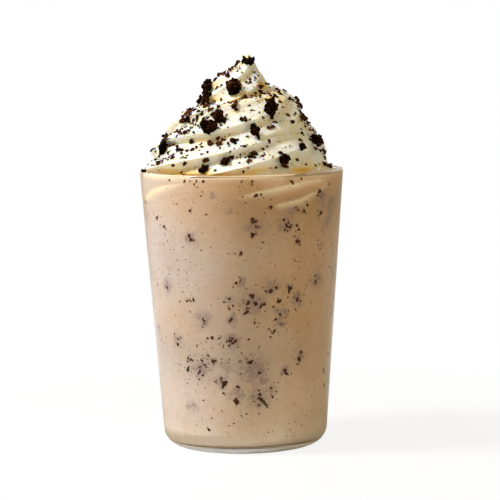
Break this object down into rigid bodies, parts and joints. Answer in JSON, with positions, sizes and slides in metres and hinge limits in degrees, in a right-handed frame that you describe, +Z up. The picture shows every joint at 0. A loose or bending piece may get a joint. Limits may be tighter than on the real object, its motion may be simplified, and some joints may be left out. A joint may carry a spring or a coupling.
{
  "type": "cookies and cream frappe in a glass",
  "caption": "Clear tapered tumbler of blended iced drink, topped with a piped swirl of whipped cream and broken dark cookies.",
  "frame": {"origin": "centre of the glass's footprint, on the surface it stands on", "axes": "+Z up the glass's axis; -Y faces the viewer"},
  "size_m": [0.0858, 0.0858, 0.1654],
  "materials": {
    "glass": "clear polished soda glass",
    "frappe": "opaque blended milk drink with cookie specks",
    "whipped_cream": "soft satin cream",
    "cookie": "rough dark chocolate cookie"
  },
  "bodies": {
    "root": {"glass": "glass", "frappe": "frappe", "whipped_cream": "whipped_cream", "cookie_piece_01": "cookie", "cookie_piece_02": "cookie", "cookie_piece_03": "cookie", "cookie_piece_04": "cookie", "cookie_piece_05": "cookie", "cookie_piece_06": "cookie", "cookie_piece_07": "cookie", "cookie_piece_08": "cookie", "cookie_piece_09": "cookie", "cookie_piece_10": "cookie", "cookie_piece_11": "cookie", "cookie_piece_12": "cookie", "cookie_piece_13": "cookie", "cookie_piece_14": "cookie", "cookie_piece_15": "cookie", "cookie_piece_16": "cookie", "cookie_piece_17": "cookie", "cookie_piece_18": "cookie", "cookie_piece_19": "cookie", "cookie_piece_20": "cookie", "cookie_piece_21": "cookie", "cookie_piece_22": "cookie"}
  },
  "joints": []
}
